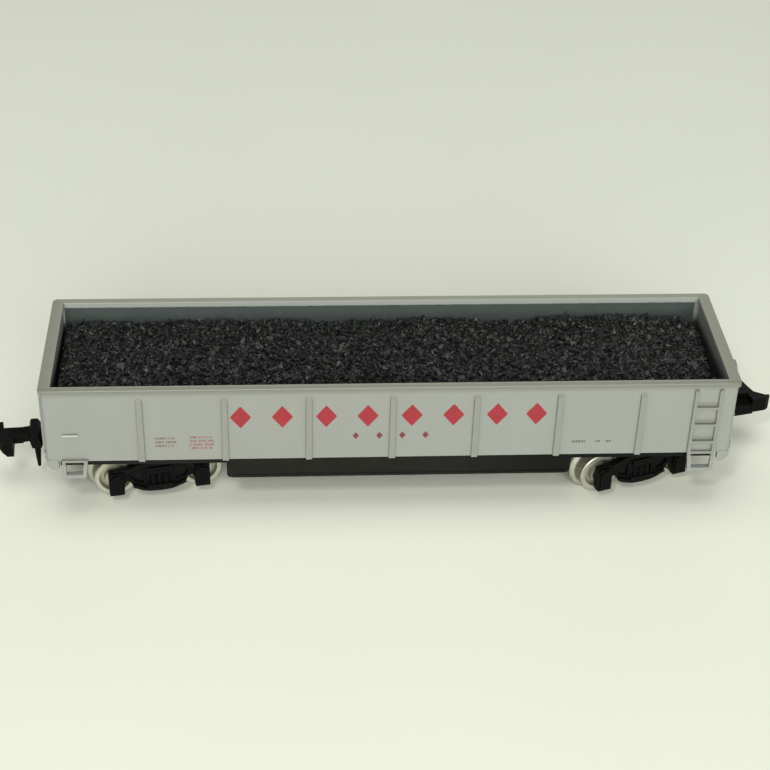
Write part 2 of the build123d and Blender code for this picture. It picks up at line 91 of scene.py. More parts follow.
# ---------------------------------------------------------------------------
# Small helpers for node materials
# ---------------------------------------------------------------------------
class Mat:
    """A thin wrapper that builds a node tree by function calls."""

    def __init__(self, name):
        self.m = bpy.data.materials.new(name)
        self.m.use_nodes = True
        self.nt = self.m.node_tree
        self.nt.nodes.clear()
        self.out = self.nt.nodes.new("ShaderNodeOutputMaterial")
        self.bsdf = self.nt.nodes.new("ShaderNodeBsdfPrincipled")
        self.nt.links.new(self.bsdf.outputs[0], self.out.inputs[0])
        tc = self.nt.nodes.new("ShaderNodeTexCoord")
        self.obj = self.scale(tc.outputs["Object"], 1000.0)      # millimetres in the row frame
        self._nrm = None

    def new(self, kind, **props):
        n = self.nt.nodes.new(kind)
        for k, v in props.items():
            setattr(n, k, v)
        return n

    def put(self, sock, v):
        if isinstance(v, bpy.types.NodeSocket):
            self.nt.links.new(v, sock)
        elif v is not None:
            if sock.type == "RGBA" and len(v) == 3:
                v = (*v, 1)
            sock.default_value = v

    def scale(self, v, k):
        n = self.new("ShaderNodeVectorMath", operation="SCALE")
        self.put(n.inputs[0], v)
        n.inputs["Scale"].default_value = k
        return n.outputs[0]

    def vec(self, op, a, b=None):
        n = self.new("ShaderNodeVectorMath", operation=op)
        self.put(n.inputs[0], a)
        if b is not None:
            self.put(n.inputs[1], b)
        return n.outputs["Value"] if op in ("DOT_PRODUCT", "LENGTH") else n.outputs[0]

    def math(self, op, a, b=None, clamp=False, c=None):
        n = self.new("ShaderNodeMath", operation=op, use_clamp=clamp)
        self.put(n.inputs[0], a)
        if b is not None:
            self.put(n.inputs[1], b)
        if c is not None:
            self.put(n.inputs[2], c)
        return n.outputs[0]

    def xyz(self, v):
        n = self.new("ShaderNodeSeparateXYZ")
        self.put(n.inputs[0], v)
        return n.outputs

    def combine(self, x, y, z):
        n = self.new("ShaderNodeCombineXYZ")
        for s, v in zip(n.inputs, (x, y, z)):
            self.put(s, v)
        return n.outputs[0]

    def step(self, v, lo, hi, a=0.0, b=1.0):
        """Smooth ramp of v from lo to hi onto a..b."""
        n = self.new("ShaderNodeMapRange", interpolation_type="SMOOTHSTEP")
        self.put(n.inputs["Value"], v)
        n.inputs["From Min"].default_value = lo
        n.inputs["From Max"].default_value = hi
        n.inputs["To Min"].default_value = a
        n.inputs["To Max"].default_value = b
        return n.outputs[0]

    def noise(self, scale, detail=3.0, rough=0.55, vec=None, distortion=0.0, stretch=None):
        v = self.obj if vec is None else vec
        if stretch:
            n = self.new("ShaderNodeVectorMath", operation="MULTIPLY")
            self.put(n.inputs[0], v)
            n.inputs[1].default_value = stretch
            v = n.outputs[0]
        n = self.new("ShaderNodeTexNoise")
        self.put(n.inputs["Vector"], v)
        n.inputs["Scale"].default_value = scale
        n.inputs["Detail"].default_value = detail
        n.inputs["Roughness"].default_value = rough
        n.inputs["Distortion"].default_value = distortion
        return n.outputs[0]

    def voronoi(self, scale, vec=None, feature="F1", out="Distance"):
        n = self.new("ShaderNodeTexVoronoi", feature=feature)
        self.put(n.inputs["Vector"], self.obj if vec is None else vec)
        n.inputs["Scale"].default_value = scale
        return n.outputs[out]

    def mix(self, fac, a, b, blend="MIX"):
        n = self.new("ShaderNodeMix", data_type="RGBA", blend_type=blend)
        n.clamp_factor = True
        self.put(n.inputs[0], fac)
        self.put(n.inputs[6], a)
        self.put(n.inputs[7], b)
        return n.outputs[2]

    def mixf(self, fac, a, b):
        n = self.new("ShaderNodeMix", data_type="FLOAT")
        n.clamp_factor = True
        self.put(n.inputs[0], fac)
        self.put(n.inputs[2], a)
        self.put(n.inputs[3], b)
        return n.outputs[0]

    def ao(self, distance, inside=False):
        n = self.new("ShaderNodeAmbientOcclusion", samples=6, inside=inside, only_local=True)
        n.inputs["Distance"].default_value = distance * MM
        return n.outputs["AO"]

    def normal_z(self):
        """Object-space normal, z part."""
        if self._nrm is None:
            tc = self.new("ShaderNodeTexCoord")
            self._nrm = self.xyz(tc.outputs["Normal"])
        return self._nrm

    def bump(self, height, strength, distance_mm, normal=None):
        n = self.new("ShaderNodeBump")
        n.inputs["Strength"].default_value = strength
        n.inputs["Distance"].default_value = distance_mm * MM
        self.put(n.inputs["Height"], height)
        if normal is not None:
            self.put(n.inputs["Normal"], normal)
        return n.outputs[0]

    def set(self, **kw):
        names = {"color": "Base Color", "rough": "Roughness", "metal": "Metallic", "normal": "Normal",
                 "spec": "Specular IOR Level", "coat": "Coat Weight", "coat_rough": "Coat Roughness", "ior": "IOR",
                 "sheen": "Sheen Weight"}
        for k, v in kw.items():
            self.put(self.bsdf.inputs[names[k]], v)
        return self


# ---------------------------------------------------------------------------
# Materials
# ---------------------------------------------------------------------------
SILVER = (0.239, 0.249, 0.225)
PAINT_A, PAINT_B = (0.246, 0.248, 0.217), (0.232, 0.248, 0.234)
RIM_A, RIM_B = (0.218, 0.227, 0.170), (0.250, 0.257, 0.205)
INSIDE_A, INSIDE_B = (0.046, 0.058, 0.052), (0.065, 0.079, 0.071)


def SIDE_SIGN(g, p):
    """+1 on the near wall, -1 on the far wall, so that x * sign runs the same way on both."""
    return g.math("SUBTRACT", 0.0, g.math("SIGN", p[1]))



def body_material():
    g = Mat("silver_grey_body")
    p = g.xyz(g.obj)
    ax = g.math("ABSOLUTE", p[0])
    ay = g.math("ABSOLUTE", p[1])
    nz = g.normal_z()[2]
    # bare darker plastic: inner walls below the rim's lip, tub floor and underside
    wob = g.math("MULTIPLY", g.math("SUBTRACT", g.noise(1.3, 3), 0.5), 0.22)
    z_in = g.step(g.math("ADD", p[2], wob), 17.55, 17.45)
    in_y = g.step(ay, 9.36, 9.28)
    in_x = g.step(ax, 40.25, 40.15)
    inside = g.math("MULTIPLY", g.math("MULTIPLY", in_y, in_x), z_in)
    # paint: broad tone drift, faint vertical streaks, fine mottling
    drift = g.noise(0.055, 2, 0.5)
    streak = g.noise(1.0, 3, 0.6, stretch=(1.0, 1.0, 0.09))
    mottle = g.noise(5.5, 3, 0.6)
    tone = g.math("ADD", g.math("MULTIPLY", drift, 0.13), g.math("MULTIPLY", streak, 0.06))
    tone = g.math("ADD", tone, g.math("MULTIPLY", mottle, 0.04))
    tone = g.math("ADD", tone, 0.885)
    warm = g.mix(g.noise(0.045, 2, 0.5), PAINT_A, PAINT_B)
    paint = g.mix(1.0, warm, g.combine(tone, tone, tone), "MULTIPLY")
    # the raised posts, stiles and rungs are painted darker than the wall
    proud = g.math("MULTIPLY", g.step(ay, 10.12, 10.25), g.step(g.noise(1.4, 3, 0.6), 0.2, 0.6, 0.6, 1.0))
    proud = g.math("MULTIPLY", proud, g.step(p[2], 7.7, 7.95))
    paint = g.mix(g.math("MULTIPLY", proud, 0.34), paint, (0.150, 0.155, 0.120))
    # and their sloped caps hold dust and carry painted shade, so they do not shine
    cap_dust_shade = g.math("MULTIPLY", g.step(nz, 0.15, 0.45), g.math("MULTIPLY", g.step(ay, 10.0, 10.04), g.step(p[2], 17.75, 17.6)))
    cap_dust_shade = g.math("MULTIPLY", cap_dust_shade, g.step(p[2], 8.3, 8.6))
    paint = g.mix(g.math("MULTIPLY", cap_dust_shade, 0.62), paint, (0.105, 0.108, 0.085))
    # painted highlight on the grab bar's face
    sx = g.math("MULTIPLY", p[0], SIDE_SIGN(g, p))
    bar_x = g.math("MULTIPLY", g.step(sx, -38.8, -38.55), g.step(sx, -36.3, -36.55))
    bar_z = g.math("MULTIPLY", g.step(p[2], 11.75, 11.85), g.step(p[2], 12.4, 12.3))
    grab_highlight = g.math("MULTIPLY", g.math("MULTIPLY", bar_x, bar_z), g.step(ay, 10.03, 10.08))
    paint = g.mix(grab_highlight, paint, (0.335, 0.365, 0.325))
    # grime and painted shade on the rim's top faces, thicker near the corners; the mask reaches down the edge fillet
    # to hold back its highlight
    top = g.math("MULTIPLY", g.step(nz, 0.15, 0.7), g.step(p[2], 17.9, 18.05))
    rim_col = g.mix(g.noise(0.7, 3), RIM_A, RIM_B)
    rim_col = g.mix(g.math("MULTIPLY", g.step(ax, 39.0, 40.6), 0.35), rim_col, (0.150, 0.158, 0.110))
    # painted shade: the near side's rim top is darker than the far side's
    near_rim_shade = g.math("MULTIPLY", g.step(g.math("MULTIPLY", ay, 1.0), 9.3, 9.5), g.step(p[1], 0.5, -0.5))
    rim_col = g.mix(g.math("MULTIPLY", near_rim_shade, 0.30), rim_col, (0.105, 0.110, 0.080))
    paint = g.mix(top, paint, rim_col)
    # darker band along the top of the outer faces: rubbing, and painted shade over the rim edge's highlight
    rub_and_shade = g.math("MULTIPLY", g.step(p[2], 17.15, 18.1), g.math("MAXIMUM", g.step(ay, 9.9, 9.95), g.step(ax, 40.6, 40.65)))
    rub_and_shade = g.math("MULTIPLY", rub_and_shade, g.math("SUBTRACT", 1.0, top))
    paint = g.mix(g.math("MULTIPLY", rub_and_shade, 0.62), paint, (0.112, 0.118, 0.090))
    # the lip inside the rim keeps clean silver, painted lighter than the outer paint as a painted highlight
    lip = g.math("MULTIPLY", g.step(ay, 9.72, 9.62), g.math("MULTIPLY", g.step(ay, 8.9, 8.95), g.step(nz, 0.5, 0.2)))
    lip = g.math("MULTIPLY", lip, g.step(p[2], 17.5, 17.6))
    paint = g.mix(g.math("MULTIPLY", lip, 0.85), paint, (0.325, 0.345, 0.308))
    # dirt and painted shade (ambient occlusion) in the corners along posts, ladders and sill
    occ = g.ao(0.8)
    dirt_and_shade = g.math("MULTIPLY", g.step(occ, 0.82, 0.40), g.step(g.noise(1.7, 4, 0.6), 0.25, 0.62, 0.5, 1.0))
    # one flank of each post and stile loses most of it, and the other flank gets extra painted shade, for a key
    # light from one side
    nxs = g.math("MULTIPLY", g.normal_z()[0], SIDE_SIGN(g, p))
    out_y = g.step(ay, 10.02, 10.05)
    dirt_and_shade = g.math("MULTIPLY", dirt_and_shade, g.math("SUBTRACT", 1.0, g.math("MULTIPLY", g.step(nxs, -0.2, -0.6, 0.0, 0.8), out_y)))
    paint = g.mix(g.math("MULTIPLY", dirt_and_shade, 0.42), paint, (0.090, 0.092, 0.074))
    # painted shade on the flank turned away from the key light
    flank_shade = g.math("MULTIPLY", g.math("MULTIPLY", g.step(nxs, 0.3, 0.7), out_y), g.step(ay, 10.6, 10.5))
    paint = g.mix(g.math("MULTIPLY", flank_shade, 0.35), paint, (0.090, 0.092, 0.074))
    # darker band on the wall just above each ladder rung
    lad = g.math("MULTIPLY", g.step(g.math("MULTIPLY", p[0], SIDE_SIGN(g, p)), 35.8, 36.1),
                 g.step(g.math("MULTIPLY", p[0], SIDE_SIGN(g, p)), 38.95, 38.65))
    lad = g.math("MULTIPLY", lad, g.step(ay, 9.9, 9.98))
    for z in (14.85, 12.4, 9.95):
        band = g.math("MULTIPLY", g.step(p[2], z + 0.14, z + 0.22), g.step(p[2], z + 1.05, z + 0.45))
        band = g.math("MULTIPLY", g.math("MULTIPLY", band, lad), g.step(g.noise(1.2, 3), 0.25, 0.6, 0.65, 1.0))
        paint = g.mix(g.math("MULTIPLY", band, 0.33), paint, (0.105, 0.110, 0.088))
    bare = g.mix(g.noise(0.5, 3), INSIDE_A, INSIDE_B)
    bare = g.mix(g.math("MULTIPLY", g.step(g.noise(3.0, 4, 0.7), 0.55, 0.8), 0.25), bare, (0.125, 0.135, 0.125))
    # inner walls darker low down, towards the load
    dust = g.math("MULTIPLY", g.step(g.math("ADD", p[2], g.math("MULTIPLY", g.noise(1.1, 4, 0.65), 1.3)), 17.4, 16.2), 0.6)
    # painted light: the end walls' inner faces are painted paler, the one at -X paler than the one at +X; below a
    # wavy line near the load they are painted dark
    on_end = g.step(ax, 39.35, 39.5)
    end_wall_light = g.mix(g.step(p[0], -1.0, 1.0), (0.40, 0.42, 0.38), (0.250, 0.265, 0.245))
    bare = g.mix(g.math("MULTIPLY", on_end, 0.9), bare, end_wall_light)
    bare = g.mix(g.math("MULTIPLY", dust, g.math("SUBTRACT", 1.0, on_end)), bare, (0.030, 0.033, 0.032))
    edge_z = g.math("ADD", p[2], g.math("ADD", g.math("MULTIPLY", p[1], 0.085), g.math("MULTIPLY", g.noise(0.8, 3), 0.30)))
    low = g.math("MULTIPLY", g.step(edge_z, 17.25, 15.25), on_end)
    bare = g.mix(low, bare, (0.024, 0.026, 0.0235))
    col = g.mix(inside, paint, bare)
    rough = g.mixf(inside, g.math("ADD", g.math("MULTIPLY", mottle, 0.16), 0.37),
                   g.math("ADD", g.math("MULTIPLY", mottle, 0.2), 0.40))
    fine = g.noise(14.0, 2, 0.5)
    broad = g.noise(2.2, 2, 0.5)
    h = g.math("ADD", g.math("MULTIPLY", fine, 0.35), g.math("MULTIPLY", broad, 0.65))
    g.set(color=col, rough=rough, spec=0.42, normal=g.bump(h, 0.30, 0.03))
    return g.m


def black_plastic(name, base=(0.0060, 0.0063, 0.0058), rough=0.42, dust=0.5, seed=0.0, spec=0.28, skirt_shade=False):
    g = Mat(name)
    v = g.vec("ADD", g.obj, (seed, seed * 2.3, -seed))
    n1 = g.noise(0.6, 3, 0.55, vec=v)
    n2 = g.noise(7.0, 3, 0.6, vec=v)
    col = g.mix(n1, base, tuple(c * 1.9 for c in base))
    # a little pale dust on what faces up, and worn, polished high spots
    nz = g.normal_z()[2]
    up = g.math("MULTIPLY", g.step(nz, 0.35, 0.95), g.step(g.noise(2.4, 5, 0.7, vec=v), 0.38, 0.74))
    col = g.mix(g.math("MULTIPLY", up, dust * 0.12), col, (0.20, 0.20, 0.17))
    if skirt_shade:
        # painted shade on the underframe that deepens towards the B end on the near side, and the A end on the other
        p = g.xyz(g.obj)
        sx = g.math("MULTIPLY", p[0], SIDE_SIGN(g, p))
        col = g.mix(g.step(sx, 6.0, 22.0, 0.0, 0.85), col, (0.0009, 0.0010, 0.0007))
    edge = g.step(g.ao(0.35, inside=True), 0.75, 0.3)
    col = g.mix(g.math("MULTIPLY", edge, 0.08), col, (0.08, 0.08, 0.08))
    r = g.math("ADD", g.math("MULTIPLY", n2, 0.16), rough - 0.08)
    r = g.math("ADD", r, g.math("MULTIPLY", up, 0.16))
    h = g.math("ADD", g.math("MULTIPLY", n2, 0.6), g.math("MULTIPLY", g.noise(22.0, 2, vec=v), 0.4))
    g.set(color=col, rough=r, spec=spec, normal=g.bump(h, 0.3, 0.02))
    return g.m


def wheel_material(name, centre_mm, axis):
    """Turned metal; rings and tarnish follow the wheel's own axis."""
    g = Mat(name)
    d = g.vec("SUBTRACT", g.obj, tuple(centre_mm))
    a = g.vec("DOT_PRODUCT", d, tuple(axis))
    along = g.combine(g.math("MULTIPLY", a, axis[0]), g.math("MULTIPLY", a, axis[1]), g.math("MULTIPLY", a, axis[2]))
    r = g.vec("LENGTH", g.vec("SUBTRACT", d, along))
    aa = g.math("ABSOLUTE", a)
    # running band of the tread, and the throat by the flange: dark road film
    band = g.math("MULTIPLY", g.step(aa, 4.3, 4.5), g.step(aa, 5.86, 5.72))
    band = g.math("MULTIPLY", band, g.step(r, 2.38, 2.46))
    film = g.math("MULTIPLY", band, g.step(g.noise(2.4, 4, 0.6), 0.3, 0.6, 0.55, 1.0))
    web = g.math("MULTIPLY", g.step(r, 2.0, 1.9), g.step(r, 1.2, 1.3))
    base = g.mix(g.noise(1.1, 3), (0.47, 0.465, 0.385), (0.58, 0.575, 0.485))
    base = g.mix(g.math("MULTIPLY", web, 0.45), base, (0.30, 0.28, 0.21))
    base = g.mix(g.math("MULTIPLY", film, 0.72), base, (0.105, 0.092, 0.060))
    # painted shade in the wheel's creases, from ambient occlusion
    base = g.mix(g.math("MULTIPLY", g.step(g.ao(0.5), 0.8, 0.35), 0.5), base, (0.16, 0.14, 0.09))
    rings = g.math("SINE", g.math("MULTIPLY", r, 95.0))
    rough = g.math("ADD", g.math("MULTIPLY", g.noise(3.5, 4), 0.18), 0.37)
    rough = g.math("ADD", rough, g.math("MULTIPLY", film, 0.22))
    h = g.math("ADD", g.math("MULTIPLY", rings, 0.35), g.math("MULTIPLY", g.noise(9.0, 3), 0.4))
    g.set(color=base, rough=rough, metal=0.88, normal=g.bump(h, 0.25, 0.012))
    return g.m


def steel(name, base, rough=0.34, stretch=(1, 1, 1), seed=0.0):
    g = Mat(name)
    v = g.vec("ADD", g.obj, (seed, -seed, seed * 0.7))
    n1 = g.noise(0.8, 3, vec=v)
    n2 = g.noise(6.0, 4, 0.65, vec=v, stretch=stretch)
    col = g.mix(n1, base, tuple(c * 0.7 for c in base))
    col = g.mix(g.math("MULTIPLY", g.step(n2, 0.55, 0.75), 0.5), col, tuple(c * 0.45 for c in base))
    r = g.math("ADD", g.math("MULTIPLY", n2, 0.25), rough - 0.1)
    g.set(color=col, rough=r, metal=1.0, normal=g.bump(n2, 0.3, 0.015))
    return g.m


def coal_material(name="crushed_coal", chips=True):
    g = Mat(name)
    n = g.noise(2.6, 4, 0.6)
    if chips:
        at = g.new("ShaderNodeAttribute", attribute_name="chip_tone")
        t = at.outputs["Fac"]
    else:
        t = g.math("MULTIPLY", g.voronoi(1.7, out="Distance"), 0.5)
    col = g.mix(t, (0.0062, 0.0070, 0.0062), (0.0250, 0.0282, 0.0247))
    col = g.mix(g.math("MULTIPLY", g.step(n, 0.45, 0.8), 0.30), col, (0.033, 0.035, 0.033))
    rough = g.math("ADD", g.math("MULTIPLY", g.noise(5.0, 3), 0.26), 0.26)
    if chips:
        # a few glassy facets: glossier, and painted lighter as painted glints
        col = g.mix(g.step(t, 0.94, 0.99, 0.0, 0.55), col, (0.085, 0.088, 0.082))
        rough = g.math("SUBTRACT", rough, g.step(t, 0.94, 0.99, 0.0, 0.12))
    h = g.math("ADD", g.math("MULTIPLY", g.noise(7.0, 5, 0.7), 0.7), g.math("MULTIPLY", g.voronoi(5.0), 0.3))
    g.set(color=col, rough=rough, spec=0.29, normal=g.bump(h, 0.5, 0.05))
    return g.m


def ink_material(name, col, worn):
    g = Mat(name)
    n = g.noise(3.2, 4, 0.65)
    f = g.step(n, 0.52, 0.8, 0.0, worn)
    c = g.mix(g.noise(0.9, 2), col, tuple(x * 0.82 for x in col))
    c = g.mix(f, c, SILVER)
    g.set(color=c, rough=g.math("ADD", g.math("MULTIPLY", n, 0.15), 0.38), spec=0.5,
          normal=g.bump(g.noise(10.0, 3), 0.25, 0.01))
    return g.m


MAT = {
    "body": body_material(),
    "frame": black_plastic("black_underframe_plastic", (0.0052, 0.0056, 0.0041), 0.50, 0.35, 1.0, 0.14, True),
    "truck": black_plastic("black_truck_plastic", (0.0013, 0.0015, 0.0013), 0.48, 0.3, 5.0, 0.075),
    "coupler": black_plastic("black_coupler_plastic", (0.0011, 0.0013, 0.0009), 0.46, 0.25, 9.0, 0.075),
    "bush": black_plastic("bush_plastic", (0.014, 0.014, 0.014), 0.45, 0.2, 13.0),
    "insert": black_plastic("load_insert_plastic", (0.0062, 0.0064, 0.0062), 0.52, 0.15, 17.0, 0.22),
    "axle": steel("turned_axle_steel", (0.46, 0.45, 0.42), 0.32, (1, 1, 1), 2.0),
    "spring": steel("spring_steel", (0.50, 0.50, 0.49), 0.30, (1, 1, 1), 4.0),
    "weight": steel("rolled_weight_steel", (0.40, 0.40, 0.39), 0.42, (0.12, 1, 1), 6.0),
    "coal": coal_material(),
    "coal_bed": coal_material("coal_bed", chips=False),
    "red": ink_material("red_printing", (0.290, 0.011, 0.022), 0.22),
    "dark_red": ink_material("dark_red_printing", (0.175, 0.020, 0.028), 0.40),
    "fine_red": ink_material("fine_red_printing", (0.252, 0.118, 0.112), 0.45),
    "fine_brown": ink_material("fine_brown_printing", (0.178, 0.128, 0.098), 0.5),
    "grey": ink_material("grey_printing", (0.118, 0.098, 0.094), 0.4),
}


def dress(node, mat):
    o = NODES[node]
    o.data.materials.clear()
    o.data.materials.append(mat)


dress("body_shell", MAT["body"])
dress("brake_wheel", MAT["body"])
dress("underframe", MAT["frame"])
dress("weight_plate", MAT["weight"])
for e in "ab":
    dress("truck_frame_" + e, MAT["truck"])
    dress("king_pin_" + e, MAT["truck"])
    dress("coupler_" + e, MAT["coupler"])
    dress("coupler_cover_" + e, MAT["truck"])
    dress("coupler_spring_" + e, MAT["spring"])
    for n in "12":
        j = JOINTS["wheelset_%s%s_spin" % (e, n)]
        w = wheel_material("wheel_metal_" + e + n, [c * 1000 for c in j["pos_m"]], j["axis"])
        dress("wheel_%s%s_plain" % (e, n), w)
        dress("wheel_%s%s_insulated" % (e, n), w)
        dress("axle_" + e + n, MAT["axle"])
        dress("bush_" + e + n, MAT["bush"])


# ---------------------------------------------------------------------------
# Mesh helper
# ---------------------------------------------------------------------------
def mesh_object(name, verts, faces, mats, smooth=False, tone=None):
    me = bpy.data.meshes.new(name)
    me.from_pydata([tuple(v) for v in verts], [], [tuple(int(i) for i in f) for f in faces])
    me.update()
    for m in mats if isinstance(mats, (list, tuple)) else [mats]:
        me.materials.append(m)
    if tone is not None:
        a = me.attributes.new("chip_tone", "FLOAT", "POINT")
        a.data.foreach_set("value", np.asarray(tone, np.float32))
    if smooth:
        for p in me.polygons:
            p.use_smooth = True
    ob = bpy.data.objects.new(name, me)
    scene.collection.objects.link(ob)
    return ob


# ---------------------------------------------------------------------------
# Coal: a moulded insert with crushed coal heaped on it
# ---------------------------------------------------------------------------
lo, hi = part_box("coal_load")
CX0, CX1 = lo.x / MM, hi.x / MM
CY0, CY1 = lo.y / MM, hi.y / MM
CZ0 = lo.z / MM
rng = np.random.default_rng(160)


def value_noise(x, y, cell, seed):
    """Smooth lattice noise in -1..1."""
    g = np.random.default_rng(seed).uniform(-1, 1, (128, 128))
    fx, fy = x / cell + 40.0, y / cell + 40.0
    ix, iy = np.floor(fx).astype(int), np.floor(fy).astype(int)
    tx, ty = fx - ix, fy - iy
    tx, ty = tx * tx * (3 - 2 * tx), ty * ty * (3 - 2 * ty)
    a = g[ix % 128, iy % 128]
    b = g[(ix + 1) % 128, iy % 128]
    c = g[ix % 128, (iy + 1) % 128]
    d = g[(ix + 1) % 128, (iy + 1) % 128]
    return (a * (1 - tx) + b * tx) * (1 - ty) + (c * (1 - tx) + d * tx) * ty


def sstep(v, a, b):
    t = np.clip((v - a) / (b - a), 0, 1)
    return t * t * (3 - 2 * t)


OUT_X0, OUT_X1, OUT_Y, OUT_R = -39.48, 39.40, 8.98, 2.1


def edge_distance(x, y):
    """Distance inside the load's rounded outline, negative outside."""
    cx, hx = (OUT_X0 + OUT_X1) / 2, (OUT_X1 - OUT_X0) / 2
    qx = np.abs(x - cx) - (hx - OUT_R)
    qy = np.abs(y) - (OUT_Y - OUT_R)
    out = np.hypot(np.maximum(qx, 0), np.maximum(qy, 0)) + np.minimum(np.maximum(qx, qy), 0) - OUT_R
    return -out


def heap(x, y):
    """Height of the coal, mm above the floor plane."""
    x, y = np.asarray(x, float), np.asarray(y, float)
    h = 15.56 + 0.10 * (1 - (np.abs(y) / 9.0) ** 3)
    h = h + 0.38 * np.exp(-((x - 26) / 6.5) ** 2) * (0.7 + 0.3 * np.exp(-((y - 4) / 6.0) ** 2))
    h = h - 0.42 * np.exp(-((x - 16.5) / 3.2) ** 2) - 0.30 * np.exp(-((x + 6.6) / 2.2) ** 2 - ((y - 9) / 3.0) ** 2)
    h = h + 0.12 * np.exp(-((x + 17) / 8.0) ** 2)
    h = h + 0.16 * value_noise(x, y, 4.2, 3) + 0.12 * value_noise(x, y, 1.9, 5)
    d = edge_distance(x, y)
    h = h - 0.16 * (1 - sstep(d, 0.0, 0.9)) - 0.45 * (1 - sstep(d, -0.15, 0.12))
    h = h - 0.40 * sstep(x, 36.6, 39.2)
    return h


def coal_insert():
    """Closed slab whose top follows the heap, a little below it."""
    nx, ny = 330, 78
    xs, ys = np.linspace(CX0, CX1, nx), np.linspace(CY0, CY1, ny)
    X, Y = np.meshgrid(xs, ys, indexing="ij")
    bed = sstep(edge_distance(X, Y), 0.0, 0.5)
    Z = heap(X, Y) - 0.26 + bed * (0.16 * value_noise(X, Y, 0.62, 21) + 0.12 * value_noise(X, Y, 0.31, 22))
    top = np.stack([X, Y, Z], -1).reshape(-1, 3)
    verts = list(top * MM)
    faces = []
    idx = lambda i, j: i * ny + j
    for i in range(nx - 1):
        for j in range(ny - 1):
            faces.append((idx(i, j), idx(i + 1, j), idx(i + 1, j + 1), idx(i, j + 1)))
    ring = [idx(i, 0) for i in range(nx)] + [idx(nx - 1, j) for j in range(1, ny)]
    ring += [idx(i, ny - 1) for i in range(nx - 2, -1, -1)] + [idx(0, j) for j in range(ny - 2, 0, -1)]
    # skirt in three steps: shoulder, wall, chamfered foot
    cur = ring
    for inset, z in ((0.0, 13.4), (0.18, 13.2), (0.18, 9.75), (0.45, CZ0)):
        nxt = []
        for k in ring:
            x, y, _ = top[k]
            x2 = max(CX0 + inset, min(CX1 - inset, x))
            y2 = max(CY0 + inset, min(CY1 - inset, y))
            verts.append(np.array((x2, y2, z)) * MM)
            nxt.append(len(verts) - 1)
        n = len(ring)
        for k in range(n):
            a, b = cur[k], cur[(k + 1) % n]
            c, d = nxt[(k + 1) % n], nxt[k]
            faces.append((b, a, d, c))
        cur = nxt
    faces.append(tuple(reversed(cur)))
    ob = mesh_object("coal_insert", verts, faces, [MAT["insert"], MAT["coal_bed"]])
    bed_faces = (bed[:-1, :-1] > 0.5).reshape(-1)
    index = np.zeros(len(faces), np.int32)
    index[:len(bed_faces)] = bed_faces
    ob.data.polygons.foreach_set("material_index", index)
    bm = bmesh.new()
    bm.from_mesh(ob.data)
    bmesh.ops.recalc_face_normals(bm, faces=bm.faces)
    bm.to_mesh(ob.data)
    bm.free()
    return ob


def chip_library(count):
    """Angular fragments: convex hulls of a few random points, longest side about 1."""
    out = []
    for k in range(count):
        r = np.random.default_rng(900 + k)
        n = int(r.integers(8, 14))
        p = r.normal(size=(n, 3))
        p /= np.linalg.norm(p, axis=1)[:, None]
        p *= r.uniform(0.78, 1.0, (n, 1))
        p *= np.array([1.0, r.uniform(0.55, 0.95), r.uniform(0.35, 0.75)]) * 0.5
        bm = bmesh.new()
        for q in p:
            bm.verts.new(q)
        res = bmesh.ops.convex_hull(bm, input=bm.verts)
        junk = [e for e in res["geom_interior"] if isinstance(e, bmesh.types.BMVert)]
        bmesh.ops.delete(bm, geom=junk, context="VERTS")
        bmesh.ops.dissolve_limit(bm, angle_limit=math.radians(9), verts=bm.verts, edges=bm.edges)
        bmesh.ops.triangulate(bm, faces=bm.faces)
        bmesh.ops.recalc_face_normals(bm, faces=bm.faces)
        bm.verts.index_update()
        out.append((np.array([v.co[:] for v in bm.verts]), np.array([[v.index for v in f.verts] for f in bm.faces])))
        bm.free()
    return out


